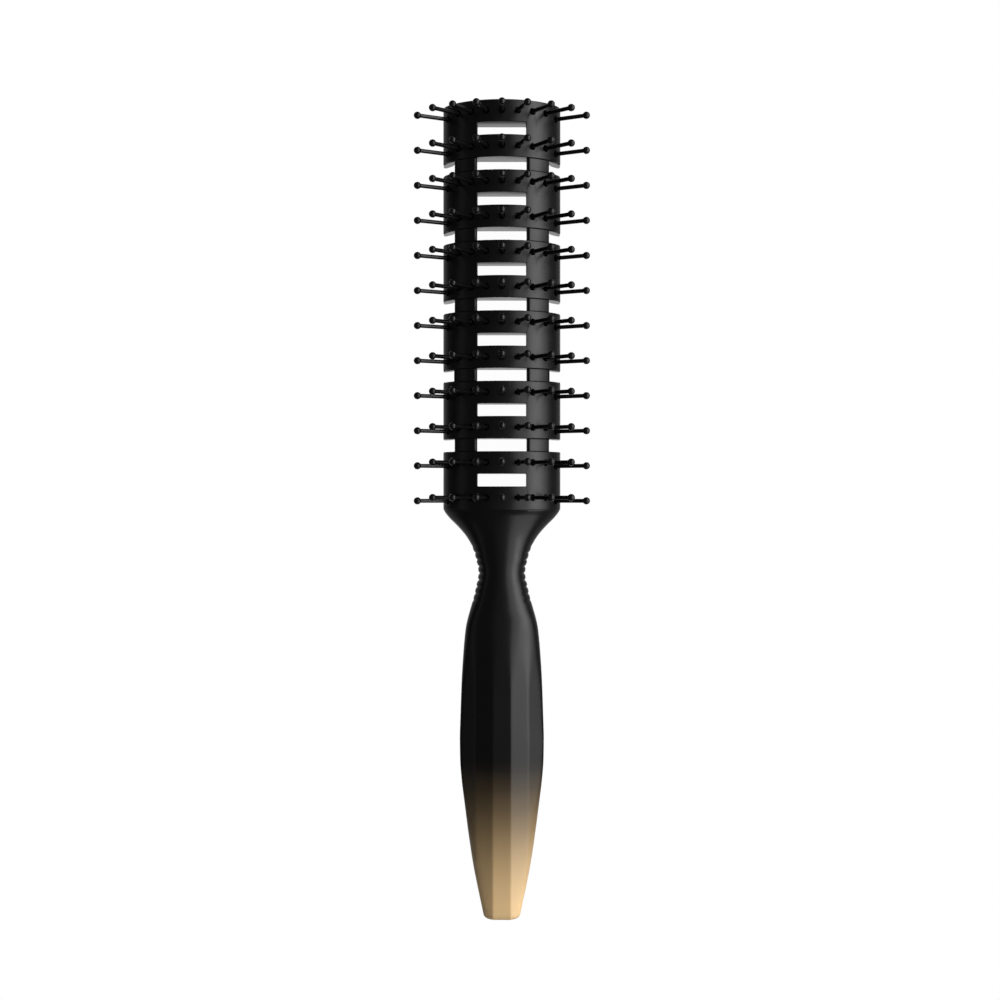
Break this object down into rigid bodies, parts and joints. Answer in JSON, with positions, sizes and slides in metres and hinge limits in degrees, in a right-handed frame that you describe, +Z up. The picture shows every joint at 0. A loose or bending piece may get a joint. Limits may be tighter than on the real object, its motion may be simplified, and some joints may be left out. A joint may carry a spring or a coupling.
{
  "type": "vent brush",
  "caption": "Vent hair brush lying on its back: curved slotted head with rows of ball-tipped pins over an open tunnel, ribbed neck and long facetted handle.",
  "frame": {"origin": "middle of the brush's footprint, on the surface that it lies on", "axes": "+X across the head, +Y from the handle's end to the head's end, +Z up, the way the middle pins point"},
  "size_m": [0.0474, 0.22, 0.0276],
  "materials": {
    "body_plastic": "satin black that fades to pale gold at the handle's end",
    "pin_plastic": "gloss black"
  },
  "bodies": {
    "root": {"brush_body": "body_plastic", "pin_row_01": "pin_plastic", "pin_row_02": "pin_plastic", "pin_row_03": "pin_plastic", "pin_row_04": "pin_plastic", "pin_row_05": "pin_plastic", "pin_row_06": "pin_plastic", "pin_row_07": "pin_plastic", "pin_row_08": "pin_plastic", "pin_row_09": "pin_plastic", "pin_row_10": "pin_plastic", "pin_row_11": "pin_plastic", "pin_row_12": "pin_plastic"}
  },
  "joints": []
}
